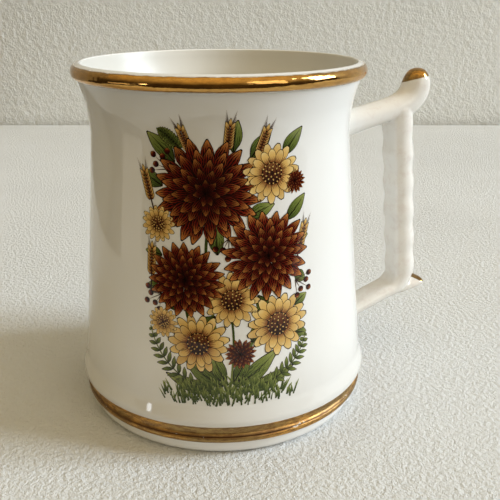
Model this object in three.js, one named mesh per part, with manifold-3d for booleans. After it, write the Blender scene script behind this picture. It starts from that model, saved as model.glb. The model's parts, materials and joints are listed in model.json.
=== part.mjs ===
// A pint tankard in white glazed earthenware with burnished gold trim.
//
// The body is slip-cast, round about one axis: a wall that tapers up to a
// waist and flares into a rolled lip, on a moulded foot with a hollowed
// underside.  The handle is cast on its own, with a thumb rest, a rippled grip
// and a spur, and is luted to the wall with slip at two seats.  The gold is
// fired on top of the glaze as thin skins, and so is the printed panel.
//
// Millimetres, +Z up.  The table is at z = 0 and the origin is under the
// middle of the whole footprint.  The handle points along +X, so the body's
// own axis stands on the -X side of the origin.

import * as THREE from "three";
import { mergeVertices } from "three/addons/utils/BufferGeometryUtils.js";
import Module from "manifold-3d";

// Driving dimensions: first the body, as radii and heights of its outside.
const bodyHeight = 120;
const waistRadius = 43.4;
const waistHeight = 102;
const shoulderRadius = 52.2;
const shoulderHeight = 12.6;
const wallThickness = 3.8;
const floorHeight = 7.4;
const floorCornerRadius = 9;

// The rolled lip is a bead of round section.
const lipRadius = 2.4;
const lipCentreRadius = 46.1;

// The foot: a cove under the shoulder, a small bead, and a ring to stand on.
const coveDepth = 1.4;
const beadRadius = 1.15;
const beadHeight = 6.75;
const footRingOuterRadius = 46.6;
const footRingInnerRadius = 42.8;
const undersideRecess = 3;

// The handle's inner outline, as distance from the body's axis and height.
const upperArmSlope = 0.18;
const lowerArmSlope = 0.335;
const gripTop = new THREE.Vector2(68.9, 96.2);
const gripBottom = new THREE.Vector2(75.9, 28.6);
const upperInnerCorner = 3;
const lowerInnerCorner = 5;

// Its D-shaped section: a flat inner face, straight flanks, a round back.
const handleWidth = 11.2;
const upperArmThickness = 7.5;
const gripThickness = 10.4;
const lowerArmThickness = 6.2;
const innerEdgeRadius = 1.6;
const flankShare = 0.34;
const rootFlare = 1.2;
const rippleLength = 11.6;
const rippleDepth = 0.38;

// The thumb rest and the spur.
const thumbRestTop = 114.6;
const thumbRestRadius = 81;
const spurTipRadius = 89.8;
const spurHeight = 25.7;

// Trim and joints.
const gildingThickness = 0.15;
const seatGap = 0.3;
const slipReach = 3;
const slipSpread = 1.6;
const printAngle = THREE.MathUtils.degToRad(-110.5);
const printGap = 0.05;
const printThickness = 0.2;

const roundSteps = 60;

// Colours and finishes.

const glaze = { color: 0xe9e6df, roughness: 0.12, metalness: 0 };
const slip = { color: 0xe4e0d8, roughness: 0.2, metalness: 0 };
const gold = { color: 0xa8742a, roughness: 0.22, metalness: 1 };
const ink = { color: 0x7a4326, roughness: 0.2, metalness: 0 };

const wasm = await Module();
wasm.setup();

const tankard = new THREE.Group();
const onBodyAxis = new THREE.Group();
tankard.add(onBodyAxis);

function addPart(name, geometry, finish) {
  const mesh = new THREE.Mesh(geometry, new THREE.MeshStandardMaterial(finish));
  mesh.name = name;
  onBodyAxis.add(mesh);
}

// A drawn geometry as a closed solid, which can be joined and cut.
function toSolid(geometry) {
  const bare = geometry.clone();
  bare.deleteAttribute("normal");
  bare.deleteAttribute("uv");
  const merged = mergeVertices(bare, 1e-4);
  const index = merged.index.array;
  const kept = [];
  for (let i = 0; i < index.length; i += 3) {
    const [a, b, c] = [index[i], index[i + 1], index[i + 2]];
    if (a !== b && b !== c && c !== a) kept.push(a, b, c);
  }
  return new wasm.Manifold(new wasm.Mesh({
    numProp: 3,
    vertProperties: new Float32Array(merged.attributes.position.array),
    triVerts: new Uint32Array(kept),
  }));
}

function toGeometry(solid) {
  const { vertProperties, triVerts } = solid.getMesh();
  const geometry = new THREE.BufferGeometry();
  geometry.setAttribute("position", new THREE.BufferAttribute(vertProperties, 3));
  geometry.setIndex(new THREE.BufferAttribute(triVerts, 1));
  geometry.computeVertexNormals();
  return geometry;
}

// A closed skin through rings of equal count, with a flat cap on each end.
function loft(rings) {
  const count = rings[0].length;
  const positions = rings.flat().flatMap((p) => [p.x, p.y, p.z]);
  const index = [];
  for (let i = 0; i + 1 < rings.length; i += 1) {
    for (let j = 0; j < count; j += 1) {
      const a = i * count + j;
      const b = i * count + ((j + 1) % count);
      index.push(a, b, b + count, a, b + count, a + count);
    }
  }
  const last = (rings.length - 1) * count;
  for (let j = 1; j + 1 < count; j += 1) {
    index.push(0, j + 1, j, last, last + j, last + j + 1);
  }
  const geometry = new THREE.BufferGeometry();
  geometry.setAttribute("position", new THREE.Float32BufferAttribute(positions, 3));
  geometry.setIndex(index);
  return geometry;
}

// An arc of an ellipse, clockwise where it ends at the smaller angle.
function arc(x, y, radiusX, radiusY, fromDegrees, toDegrees, steps) {
  const [from, to] = [fromDegrees, toDegrees].map(THREE.MathUtils.degToRad);
  return new THREE.EllipseCurve(x, y, radiusX, radiusY, from, to, to < from).getPoints(steps);
}

// Moves each point of an outline sideways, to the right of its direction.
function offsetOutline(points, distance) {
  return points.map((point, i) => {
    const before = points[Math.max(i - 1, 0)];
    const after = points[Math.min(i + 1, points.length - 1)];
    const along = after.clone().sub(before).normalize();
    return new THREE.Vector2(point.x + along.y * distance, point.y - along.x * distance);
  });
}

// Revolves an outline that runs anticlockwise, with the axis on its left.
function revolve(outline) {
  const geometry = new THREE.LatheGeometry(outline, roundSteps);
  return geometry.rotateX(Math.PI / 2);
}

// The outside of the body, from the table up to the crown of the lip.
const footCurve = new THREE.QuadraticBezierCurve(
  new THREE.Vector2(footRingOuterRadius, 0),
  new THREE.Vector2(footRingOuterRadius + 2.6, 0.7),
  new THREE.Vector2(shoulderRadius - 2.3, beadHeight - beadRadius),
).getPoints(3);

const beadCurve = arc(shoulderRadius - 2.3, beadHeight, beadRadius + 0.1, beadRadius, -90, 80, 4);

const coveCurve = arc(shoulderRadius - 0.1, shoulderHeight - 2.3, coveDepth, 2, 244, 90, 5);

const wallCurve = new THREE.SplineCurve([
  new THREE.Vector2(shoulderRadius, shoulderHeight),
  new THREE.Vector2(shoulderRadius - 0.3, shoulderHeight + 2.4),
  new THREE.Vector2(shoulderRadius - 1.5, shoulderHeight + 6.2),
  new THREE.Vector2(49.9, 27),
  new THREE.Vector2(47, 57.6),
  new THREE.Vector2(44.3, 88),
  new THREE.Vector2(waistRadius, waistHeight),
  new THREE.Vector2(44.9, 108.8),
  new THREE.Vector2(lipCentreRadius + 0.4, bodyHeight - 2 * lipRadius),
]);
const wallOutline = wallCurve.getPoints(16);

const lipHeight = bodyHeight - lipRadius;
const lipOutside = arc(lipCentreRadius, lipHeight, lipRadius, lipRadius, -68, 46, 5);
const lipCrown = arc(lipCentreRadius, lipHeight, lipRadius, lipRadius, 46, 178, 3);

// The inside follows the outside at an even wall, then rounds into the floor.
const innerFloorRadius = 46.2;
const innerWall = wallOutline
  .filter((point) => point.y > floorHeight + floorCornerRadius + 6 && point.y < lipHeight - 4)
  .filter((point, i) => i % 2 === 0)
  .map((point) => new THREE.Vector2(point.x - wallThickness, point.y))
  .reverse();
const floorCorner = arc(
  innerFloorRadius - floorCornerRadius, floorHeight + floorCornerRadius,
  floorCornerRadius, floorCornerRadius, 0, -90, 4,
);
const underside = [
  new THREE.Vector2(0, undersideRecess),
  new THREE.Vector2(footRingInnerRadius - 4, undersideRecess),
  new THREE.Vector2(footRingInnerRadius - 1, undersideRecess * 0.6),
  new THREE.Vector2(footRingInnerRadius, 0),
];

const outside = [
  ...footCurve, ...beadCurve.slice(1), ...coveCurve, ...wallOutline.slice(1),
  ...lipOutside,
];
const bodyOutline = [
  ...underside, ...outside, ...lipCrown.slice(1), ...innerWall, ...floorCorner,
  new THREE.Vector2(0, floorHeight),
];
addPart("tankard_body", revolve(bodyOutline), glaze);

// The same outside, grown outwards and filled to the axis, cuts what seats on it.
function filledBody(growth) {
  const grown = offsetOutline(outside, growth);
  return toSolid(revolve([
    new THREE.Vector2(0, grown[0].y), ...grown,
    new THREE.Vector2(0, grown[grown.length - 1].y),
  ]));
}

// A gold band: a skin on the body's own facets, brushed out thin at both edges.
function goldBand(name, seat) {
  const face = offsetOutline(seat, gildingThickness).slice(1, -1);
  addPart(name, revolve([seat[0], ...face, ...seat.slice(1).reverse(), seat[0]]), gold);
}

goldBand("rim_gilding", lipOutside);
goldBand("foot_gilding_wide", coveCurve);
goldBand("foot_gilding_line", beadCurve);

// Stations along the handle's inner outline: a place, the way out of the finger gap,
// and how far along the handle it lies.
function handleStations() {
  const upperRoot = new THREE.Vector2(38, gripTop.y - upperArmSlope * (gripTop.x - 38));
  const lowerRoot = new THREE.Vector2(44, gripBottom.y - lowerArmSlope * (gripBottom.x - 44));
  const corners = [upperRoot, gripTop, gripBottom, lowerRoot];
  const radii = [0, upperInnerCorner, lowerInnerCorner, 0];
  const steps = [5, 30, 6];
  const stations = [];
  for (let i = 0; i < 3; i += 1) {
    const along = corners[i + 1].clone().sub(corners[i]).normalize();
    const start = corners[i].clone().addScaledVector(along, i === 0 ? 0 : tangentLength(i));
    const end = corners[i + 1].clone().addScaledVector(along, i === 2 ? 0 : -tangentLength(i + 1));
    const outward = new THREE.Vector2(-along.y, along.x);
    for (let k = 0; k <= steps[i]; k += 1) {
      const place = start.clone().lerp(end, k / steps[i]);
      stations.push({ place, outward, stretch: i, share: k / steps[i] });
    }
    if (i < 2) stations.push(...cornerStations(i + 1, end, outward));
  }
  return stations;

  function turn(i) {
    const before = corners[i].clone().sub(corners[i - 1]);
    const after = corners[i + 1].clone().sub(corners[i]);
    return after.angle() - before.angle();
  }

  function tangentLength(i) {
    const angle = Math.abs(THREE.MathUtils.euclideanModulo(turn(i) + Math.PI, 2 * Math.PI) - Math.PI);
    return radii[i] * Math.tan(angle / 2);
  }

  function cornerStations(i, entry, outward) {
    const centre = entry.clone().addScaledVector(outward, -radii[i]);
    const angle = THREE.MathUtils.euclideanModulo(turn(i) + Math.PI, 2 * Math.PI) - Math.PI;
    return [1, 2, 3, 4].map((k) => {
      const direction = outward.clone().rotateAround(new THREE.Vector2(), angle * k / 5);
      const place = centre.clone().addScaledVector(direction, radii[i]);
      return { place, outward: direction, stretch: i - 0.5, share: k / 5 };
    });
  }
}

// How thick the handle is at a station, from its inner face to its back.
function thicknessAt({ place, stretch, share }) {
  if (stretch === 0) return upperArmThickness;
  if (stretch === 0.5) return THREE.MathUtils.lerp(upperArmThickness, gripThickness, share);
  if (stretch === 1) return gripThickness + rippleAt(place.y);
  if (stretch === 1.5) {
    const base = THREE.MathUtils.lerp(gripThickness, lowerArmThickness, share);
    return base + 0.6 * Math.sin(Math.PI * share);
  }
  return THREE.MathUtils.lerp(lowerArmThickness, lowerArmThickness - 1, Math.min(2 * share, 1));
}

// Finger ripples run down the grip and die out towards its ends.
function rippleAt(height) {
  const middle = (gripTop.y + gripBottom.y) / 2;
  const half = (gripTop.y - gripBottom.y) / 2;
  const fade = Math.min(1, 4 * (1 - Math.abs(height - middle) / half));
  const phase = (2 * Math.PI * (height - middle + rippleLength / 2.6)) / rippleLength;
  return rippleDepth * fade * Math.cos(phase);
}

// One D-shaped ring, in the plane through a station and across the handle.
function sectionRing({ place, outward }, thickness, width, growth) {
  const half = width / 2 + growth;
  const flank = thickness * flankShare;
  const edge = innerEdgeRadius;
  const flat = -growth;
  const ring = [];
  const put = (out, across) => ring.push(new THREE.Vector3(
    place.x + outward.x * out, -across, place.y + outward.y * out,
  ));
  for (let k = 0; k <= 2; k += 1) {
    const angle = (k / 2) * (Math.PI / 2);
    put(flat + edge * (1 - Math.sin(angle)), half - edge * (1 - Math.cos(angle)));
  }
  for (let k = 2; k >= 0; k -= 1) {
    const angle = (k / 2) * (Math.PI / 2);
    put(flat + edge * (1 - Math.sin(angle)), -half + edge * (1 - Math.cos(angle)));
  }
  for (let k = 0; k <= 9; k += 1) {
    const angle = Math.PI - (k / 9) * Math.PI;
    put(flank + (thickness + growth - flank) * Math.sin(angle) ** 0.9, half * Math.cos(angle));
  }
  return ring;
}

// The strap from root to root.  It widens a little where it meets the wall.
function strap(growth) {
  const stations = handleStations();
  return toSolid(loft(stations.map((station) => {
    const nearRoot = Math.max(0, 1 - Math.max(station.place.x - 50, 0) / 7);
    const flare = rootFlare * nearRoot ** 2;
    const place = station.place.clone().addScaledVector(station.outward, -flare / 2
      - (station.stretch === 1 ? rippleAt(station.place.y) / 2 : 0));
    const thickness = thicknessAt(station) + flare;
    return sectionRing({ place, outward: station.outward }, thickness, handleWidth + flare, growth);
  })));
}

// A limb that grows out of the strap: rings along a bent centre line, closed
// by a round end.  Each key is [distance, height, half thickness, half width].
function limb(keys, growth) {
  const centres = new THREE.SplineCurve(keys.map(([x, z]) => new THREE.Vector2(x, z)));
  const steps = 2 * (keys.length - 1);
  const rings = [];
  for (let i = 0; i <= steps; i += 1) {
    const share = i / steps;
    const [low, high, blend] = keysAt(share, keys.length);
    const centre = centres.getPoint(share);
    const along = centres.getTangent(share);
    const outward = new THREE.Vector2(along.y, -along.x);
    const half = THREE.MathUtils.lerp(keys[low][2], keys[high][2], blend) + growth;
    const wide = THREE.MathUtils.lerp(keys[low][3], keys[high][3], blend) + growth;
    const end = centre.clone().addScaledVector(along, i === steps ? growth : 0);
    rings.push(Array.from({ length: 16 }, (unused, k) => {
      const angle = (k / 16) * 2 * Math.PI;
      const out = half * Math.cos(angle);
      return new THREE.Vector3(end.x + outward.x * out, wide * Math.sin(angle), end.y + outward.y * out);
    }));
  }
  return toSolid(loft(rings));
}

function keysAt(share, count) {
  const scaled = share * (count - 1);
  const low = Math.min(Math.floor(scaled), count - 2);
  return [low, low + 1, scaled - low];
}

// The thumb rest carries the upper arm on, outward and then up.
const thumbRestKeys = [
  [66, 99.5, 3.3, 5.1],
  [72, 99.9, 4.5, 5.6],
  [77.2, 101.3, 5.5, 5.8],
  [80.3, 104.8, 5.9, 5.8],
  [thumbRestRadius, 108.6, 5.6, 5.6],
  [thumbRestRadius - 0.1, 112, 4.4, 4.8],
  [thumbRestRadius - 0.4, thumbRestTop, 1.4, 2],
];
const spurKeys = [
  [74, spurHeight - 1.8, 2.4, 4.8],
  [80, spurHeight - 0.6, 2.5, 5.3],
  [85.5, spurHeight, 2.2, 5.3],
  [88.6, spurHeight + 0.5, 1.7, 4.9],
  [spurTipRadius, spurHeight + 0.8, 0.5, 3.6],
];

const handleCast = strap(0).add(limb(thumbRestKeys, 0)).add(limb(spurKeys, 0));
addPart("handle", toGeometry(handleCast.subtract(filledBody(seatGap))), glaze);

// The slip joints keep clear of the handle and of the wall.
const handleCutter = strap(seatGap);
const wallCutter = filledBody(seatGap);

// A wiped collar of slip round one root of the handle.
function slipCollar(name, stations) {
  const rings = stations.map(({ station, spread }) => sectionRing(
    { place: station.place.clone().addScaledVector(station.outward, -spread - rootFlare / 2),
      outward: station.outward },
    station.thickness + 2 * spread + rootFlare, handleWidth + rootFlare + 2 * spread, 0,
  ));
  const collar = toSolid(loft(rings)).subtract(handleCutter).subtract(wallCutter);
  addPart(name, toGeometry(collar), slip);
}

// Rings for one collar: wide inside the wall, narrow a little way out of it.
function collarStations(corner, slope, wallRadius, thickness, outwardSign) {
  const along = new THREE.Vector2(1, slope).normalize();
  const outward = new THREE.Vector2(-along.y, along.x).multiplyScalar(outwardSign);
  const share = [-3, 0, 0.35, 1];
  const spread = [slipSpread * 1.6, slipSpread, slipSpread * 0.42, 0.12];
  return share.map((reach, i) => {
    const x = wallRadius + reach * slipReach;
    const place = new THREE.Vector2(x, corner.y - slope * (corner.x - x));
    return { station: { place, outward, thickness }, spread: spread[i] };
  });
}

const upperCollar = collarStations(gripTop, upperArmSlope, 44.2, upperArmThickness, 1);
const lowerCollar = collarStations(gripBottom, lowerArmSlope, 50.6, lowerArmThickness - 1, -1);
slipCollar("upper_slip_joint", upperCollar);
slipCollar("lower_slip_joint", lowerCollar.reverse());

// Everything on one side of a plane, as a block that reaches past the part.
function halfSpace(point, normal) {
  const size = 60;
  const block = new THREE.BoxGeometry(size, size, size);
  const facing = new THREE.Vector3(normal.x, 0, normal.y).normalize();
  const turn = new THREE.Quaternion().setFromUnitVectors(new THREE.Vector3(0, 0, 1), facing);
  block.translate(0, 0, size / 2).applyQuaternion(turn).translate(point.x, 0, point.y);
  return toSolid(block);
}

const skinGap = 0.1;
const skinThickness = 0.35;

// Gold on a limb's end: a thin shell round the limb, cut off at a plane.
function goldSkin(name, keys, edge, facing) {
  const shell = limb(keys, skinGap + skinThickness).subtract(limb(keys, skinGap));
  const cap = shell.intersect(halfSpace(edge, facing)).subtract(strap(skinGap));
  addPart(name, toGeometry(cap), gold);
}

goldSkin(
  "thumb_rest_gilding", thumbRestKeys,
  new THREE.Vector2(thumbRestRadius - 0.5, 109.6), new THREE.Vector2(-0.15, 1),
);
goldSkin(
  "spur_gilding", spurKeys,
  new THREE.Vector2(spurTipRadius - 2.6, spurHeight + 1.4), new THREE.Vector2(0.45, 1),
);

// The printed panel is one film over the wall.  Its edge, as distance across
// the panel and height on the wall:
const printEdge = new THREE.SplineCurve([
  [0, 18.8], [-13, 20], [-23, 24], [-21, 38], [-25, 52], [-22, 66], [-25.5, 80],
  [-17, 95], [-6, 106], [6, 106.5], [17, 99], [21, 86], [25.5, 72], [21.5, 58],
  [25, 42], [22, 26], [12, 20], [0, 18.8],
].map(([x, y]) => new THREE.Vector2(x, y)));

// The film: a thin shell round the body, cut by a prism of the edge's outline.
function printFilm() {
  const edge = printEdge.getPoints(60).slice(0, -1);
  const prism = new THREE.ExtrudeGeometry(new THREE.Shape(edge), {
    depth: 2 * shoulderRadius, bevelEnabled: false,
  });
  prism.rotateX(Math.PI / 2).rotateZ(printAngle + Math.PI / 2);
  const film = filledBody(printGap + printThickness).subtract(filledBody(printGap));
  return toGeometry(film.intersect(toSolid(prism)));
}
addPart("printed_panel", printFilm(), ink);

// The origin goes under the middle of the footprint.
const footprint = new THREE.Box3().setFromObject(onBodyAxis);
onBodyAxis.position.x = -(footprint.min.x + footprint.max.x) / 2;

export default tankard;
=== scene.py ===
# %% [markdown]
# # A white glazed tankard with gold trim
#
# This lesson dresses a finished model of a pint tankard: a slip-cast body, a handle that was
# cast apart and luted on, gold brushed on the glaze and a printed spray of flowers. The model
# is loaded first and stays as it is. It says where every piece belongs, and the pieces below
# take the places of its solids. Everything ends up in metres, with Z up.

import json
import math
import random

import bmesh
import bpy
from mathutils import Matrix, Vector, geometry
from mathutils.bvhtree import BVHTree

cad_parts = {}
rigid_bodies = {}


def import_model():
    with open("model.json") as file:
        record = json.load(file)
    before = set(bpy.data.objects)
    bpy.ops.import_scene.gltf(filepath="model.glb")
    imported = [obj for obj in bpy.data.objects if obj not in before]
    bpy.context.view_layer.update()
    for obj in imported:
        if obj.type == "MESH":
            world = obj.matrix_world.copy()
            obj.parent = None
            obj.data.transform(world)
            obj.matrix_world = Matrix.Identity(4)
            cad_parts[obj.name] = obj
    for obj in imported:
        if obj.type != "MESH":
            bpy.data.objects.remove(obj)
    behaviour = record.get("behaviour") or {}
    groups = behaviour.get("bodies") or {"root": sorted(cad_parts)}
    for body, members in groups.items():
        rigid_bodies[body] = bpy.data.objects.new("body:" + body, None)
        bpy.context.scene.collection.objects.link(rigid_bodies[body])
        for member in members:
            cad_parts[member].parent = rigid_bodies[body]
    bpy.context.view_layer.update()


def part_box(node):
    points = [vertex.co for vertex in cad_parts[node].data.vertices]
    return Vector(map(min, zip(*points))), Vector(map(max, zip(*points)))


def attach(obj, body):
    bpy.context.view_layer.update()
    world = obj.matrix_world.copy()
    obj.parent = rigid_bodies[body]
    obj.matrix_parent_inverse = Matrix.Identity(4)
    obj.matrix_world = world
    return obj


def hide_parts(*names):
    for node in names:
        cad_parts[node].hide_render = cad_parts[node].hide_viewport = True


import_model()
body_low, body_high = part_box("tankard_body")
axis_place = Vector(((body_low.x + body_high.x) / 2, 0, 0))
print("the body's axis stands at x =", round(axis_place.x * 1000, 2), "mm")

# %% [markdown]
# ## From millimetres to a finished piece
#
# A potter thinks in millimetres from the middle of the pot, so every piece is modelled that
# way: the body's axis is the Z axis and the handle points along +X. One helper turns such a
# mesh into an object. It shrinks the mesh to metres, moves it onto the model's axis and leaves
# the object itself at the origin, unturned and unscaled, so that patterns stay where they are.

# %% Helpers that finish a piece
MM = 0.001


def put_in_scene(name, data):
    thing = bpy.data.objects.new(name, data)
    bpy.context.scene.collection.objects.link(thing)
    return thing


def close_mesh(bm, name, materials=()):
    """The bmesh becomes a mesh with its finishes, and is freed."""
    mesh = bpy.data.meshes.new(name)
    bm.to_mesh(mesh)
    bm.free()
    for material in materials:
        mesh.materials.append(material)
    return mesh


def only(kind, geom):
    return [item for item in geom if isinstance(item, kind)]


def finish_piece(bm, name, materials, stands_for):
    """stands_for names the solids of the model whose place the piece takes."""
    bmesh.ops.scale(bm, vec=(MM, MM, MM), verts=bm.verts)
    bmesh.ops.translate(bm, vec=axis_place, verts=bm.verts)
    mesh = close_mesh(bm, name, materials)
    for face in mesh.polygons:
        face.use_smooth = True
    piece = put_in_scene(name, mesh)
    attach(piece, "root")
    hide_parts(*stands_for)
    triangles = sum(len(face.vertices) - 2 for face in mesh.polygons)
    print(f"{name}: {triangles} triangles, {len(materials)} finishes")


# %% [markdown]
# ## The camera
#
# The view is that of a person seated at a table: about 24 cm away, 14 cm up, looking down by
# 20 degrees, with the handle on the right and turned 25 degrees towards the far side. Camera,
# table and lamps are first given with the body at the middle and the camera in front, then
# turned by that angle. Depth of field stays off, so the whole tankard is sharp.

# %% The camera
handle_turn = Matrix.Rotation(math.radians(-25), 4, "Z")
to_model = Matrix.Translation(axis_place) @ handle_turn

right = Vector((0.99999, 0.00439, -0.00061))
up = Vector((-0.00094, 0.34459, 0.93875))
back = right.cross(up)
stand = Matrix((right, up, back)).transposed().to_4x4()

eye = (0.01107, -0.23918, 0.14056)
camera_data = bpy.data.cameras.new("seated_view")
camera_data.lens = 50.4
camera_data.sensor_width = 36
camera_data.clip_start = 0.01
camera_data.clip_end = 20
camera = put_in_scene("seated_view", camera_data)
camera.matrix_world = to_model @ Matrix.Translation(eye) @ stand
bpy.context.scene.camera = camera
print("camera at", [round(v, 3) for v in camera.matrix_world.translation])

# %% [markdown]
# ## Nodes in one line
#
# Materials are made of nodes. A few small helpers keep that readable: one adds a node and
# fills or links its sockets, one finds the tree through a socket, the next ones wrap the
# nodes used most. A node group is the right place for an effect that several finishes share,
# and it hands out only colours, masks and heights. The Principled shader itself always stays
# in the material.

# %% Helpers for nodes
def add(tree, kind, inputs=None, **settings):
    """One node; each input is a plain value or the output socket that feeds it."""
    node = tree.nodes.new(kind)
    for key, value in settings.items():
        setattr(node, key, value)
    for key, value in (inputs or {}).items():
        if isinstance(value, bpy.types.NodeSocket):
            tree.links.new(value, node.inputs[key])
        else:
            node.inputs[key].default_value = value
    return node


def follow(kind, inputs, **settings):
    """A node in the tree of the first socket that feeds it."""
    sockets = [v for v in inputs.values() if isinstance(v, bpy.types.NodeSocket)]
    return add(sockets[0].id_data, kind, inputs, **settings).outputs


def maths(operation, *values, clamp=False):
    inputs = dict(enumerate(values))
    return follow("ShaderNodeMath", inputs, operation=operation, use_clamp=clamp)[0]


def product(first, second):
    return maths("MULTIPLY", first, second)


def total(first, second):
    return maths("ADD", first, second)


def blend_colours(share, first, second):
    return follow("ShaderNodeMix", {0: share, 6: first, 7: second}, data_type="RGBA")[2]


def step_up(value, low, high, bottom=0.0, top=1.0):
    """A smooth step from bottom to top while the value goes from low to high."""
    inputs = {"Value": value, "From Min": low, "From Max": high, "To Min": bottom, "To Max": top}
    return follow("ShaderNodeMapRange", inputs, interpolation_type="SMOOTHSTEP")[0]


def grain(place, scale, detail=2.0, rough=0.5):
    inputs = {"Vector": place, "Scale": scale, "Detail": detail, "Roughness": rough}
    return follow("ShaderNodeTexNoise", inputs)["Fac"]


def wander(place, scale, amount, detail=2.0):
    """Noise that swings about zero by the amount."""
    return product(maths("SUBTRACT", grain(place, scale, detail), 0.5), amount)


def flattened(place, factor):
    """Places that squeeze the height of a pattern, so that it lies in level strokes."""
    return follow("ShaderNodeMapping", {"Vector": place, "Scale": (1, 1, factor)})[0]


def feed(node, **sockets):
    """Link sockets to the inputs of a node; an underscore stands for a space."""
    for label, socket in sockets.items():
        node.id_data.links.new(socket, node.inputs[label.replace("_", " ")])


SOCKETS = {"colour": "NodeSocketColor", "value": "NodeSocketFloat", "place": "NodeSocketVector"}


def open_group(name, takes, gives):
    """A node group whose sockets are listed by kind, as (tree, its inputs, its output node)."""
    tree = bpy.data.node_groups.new(name, "ShaderNodeTree")
    for side, listed in (("INPUT", takes), ("OUTPUT", gives)):
        for kind, labels in listed.items():
            for label in labels.split():
                tree.interface.new_socket(label, in_out=side, socket_type=SOCKETS[kind])
    return tree, tree.nodes.new("NodeGroupInput").outputs, tree.nodes.new("NodeGroupOutput")


def open_material(name, **plain):
    """Material, tree, Principled shader and place; plain values go on the shader's sockets."""
    material = bpy.data.materials.new(name)
    material.use_nodes = True
    tree = material.node_tree
    shader = tree.nodes["Principled BSDF"]
    for key, value in plain.items():
        shader.inputs[key.replace("_", " ")].default_value = value
    return material, tree, shader, add(tree, "ShaderNodeTexCoord").outputs["Object"]


def use_group(group, inputs):
    return follow("ShaderNodeGroup", inputs, node_tree=group)


def raise_surface(shader, height, strength, depth):
    inputs = {"Height": height, "Strength": strength, "Distance": depth}
    feed(shader, Normal=follow("ShaderNodeBump", inputs)[0])


# %% [markdown]
# ## The glaze
#
# White earthenware is never one flat white. Clear glaze pools and thins in slow waves, so the
# colour drifts a little and reflections wobble, and a few grains of iron burn through as tiny
# brown specks. Just above the foot the white is mixed with a darker grey-brown, up to 36 mm
# high, which is painted shade on the low wall.
# The group reads Object coordinates, which are true metres here, so a speck is as big as it
# says. Three finishes use it: the white outside, a darker and duller one inside the cup, whose
# darker colour is painted shade, and one for the handle, which goes from white near the wall to
# a cream of painted warm shade away from it, with faint stains.

# %% The glaze as a group, and the glazed ware
GLAZE_IOR = 1.52
# painted shade: a darker colour for the low wall just above the foot
PAINTED_LOW_SHADE = (0.30, 0.27, 0.22, 1)
IRON = (0.16, 0.09, 0.05, 1)


def make_glaze_group():
    takes = {"place": "Place", "colour": "Clay"}
    gives = {"colour": "Colour", "value": "Roughness Height"}
    tree, given, out = open_group("glaze over clay", takes, gives)
    place = given["Place"]
    drift = step_up(grain(place, 22, 3), 0.3, 0.75)
    warm = blend_colours(drift, given["Clay"], (0.78, 0.755, 0.70, 1))
    even = blend_colours(0.35, given["Clay"], warm)
    level = follow("ShaderNodeSeparateXYZ", {"Vector": place})["Z"]
    above_foot = step_up(level, 0.010, 0.013)
    # painted shade, strongest just over the foot and gone by 36 mm up
    painted_low_shade = product(step_up(level, 0.014, 0.036, 0.2, 0.0), above_foot)
    body = blend_colours(painted_low_shade, even, PAINTED_LOW_SHADE)
    dots = follow("ShaderNodeTexVoronoi", {"Vector": place, "Scale": 90.0})
    size = step_up(dots["Distance"], 0.012, 0.03, 1.0, 0.0)
    chosen = follow("ShaderNodeSeparateColor", {0: dots["Color"]})[0]
    few = maths("GREATER_THAN", chosen, 0.9)
    speck = product(product(size, few), 0.6)
    colour = blend_colours(speck, body, IRON)
    rough = step_up(grain(place, 60, 4, 0.6), 0.35, 0.8, 0.03, 0.09)
    peel = product(grain(place, 420, 1), 0.06)
    height = total(grain(place, 45, 1), peel)
    feed(out, Colour=colour, Roughness=rough, Height=height)
    return tree


glaze_group = make_glaze_group()
white_clay = (0.82, 0.82, 0.805, 1)
# painted warm shade: the cream that the handle takes away from the wall
painted_warm_shade_clay = (0.80, 0.772, 0.725, 1)
stained_clay = (0.68, 0.60, 0.55, 1)
# painted shade: the inside of the cup is darkened in its colour
cup_painted_shade_clay = (0.67, 0.655, 0.605, 1)


def vector_maths(operation, first, second):
    return follow("ShaderNodeVectorMath", {0: first, 1: second}, operation=operation)


def painted_warm_shade_past_wall(place):
    """White near the wall; further out, measured level, a cream painted warm shade and faint stains.
    """
    level = vector_maths("MULTIPLY", place, (1, 1, 0))[0]
    reach = vector_maths("DISTANCE", level, axis_place)["Value"]
    stains = step_up(grain(place, 210, 5, 0.75), 0.47, 0.66, 0.0, 0.5)
    cream = blend_colours(stains, painted_warm_shade_clay, stained_clay)
    # painted warm shade: the handle goes cream from 47 to 60 mm out
    return blend_colours(step_up(reach, 0.047, 0.06), white_clay, cream)


def lay_glaze(shader, place, clay):
    """The glaze group over a clay colour; its waves go to the shader at once."""
    glaze = use_group(glaze_group, {"Place": place, "Clay": clay})
    raise_surface(shader, glaze["Height"], strength=0.5, depth=0.0005)
    return glaze


def make_glazed_ware(name, clay=None, dull=0.0):
    """Without a clay colour it goes from white to a cream of painted warm shade, as the handle does.
    """
    material, _, shader, place = open_material(name, IOR=GLAZE_IOR)
    glaze = lay_glaze(shader, place, clay or painted_warm_shade_past_wall(place))
    feed(shader, Base_Color=glaze["Colour"], Roughness=total(glaze["Roughness"], dull))
    return material


glazed_ware = make_glazed_ware("glazed_ware", white_clay)
cup_glaze_painted_shade = make_glazed_ware("cup_glaze_painted_shade", cup_painted_shade_clay, dull=0.3)
handle_glaze_painted_shade = make_glazed_ware("handle_glaze_painted_shade")
print("materials so far:", [material.name for material in bpy.data.materials])

# %% [markdown]
# ## Fired gold
#
# Bright gold is painted on the glaze with a brush while the tankard turns on a wheel, and then
# fired. It keeps the long strokes of the brush, tarnishes in khaki and brown stains along
# them, goes brown and thin towards its edges, and wears through where hands and tables rub
# it. So the skin carries a mask: where the mask is 1 the surface is gold metal, where it is 0
# the pale glaze shows. Each skin says in a vertex attribute how near its own painted edge
# lies, which works on a band as well as on a cap.

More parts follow.
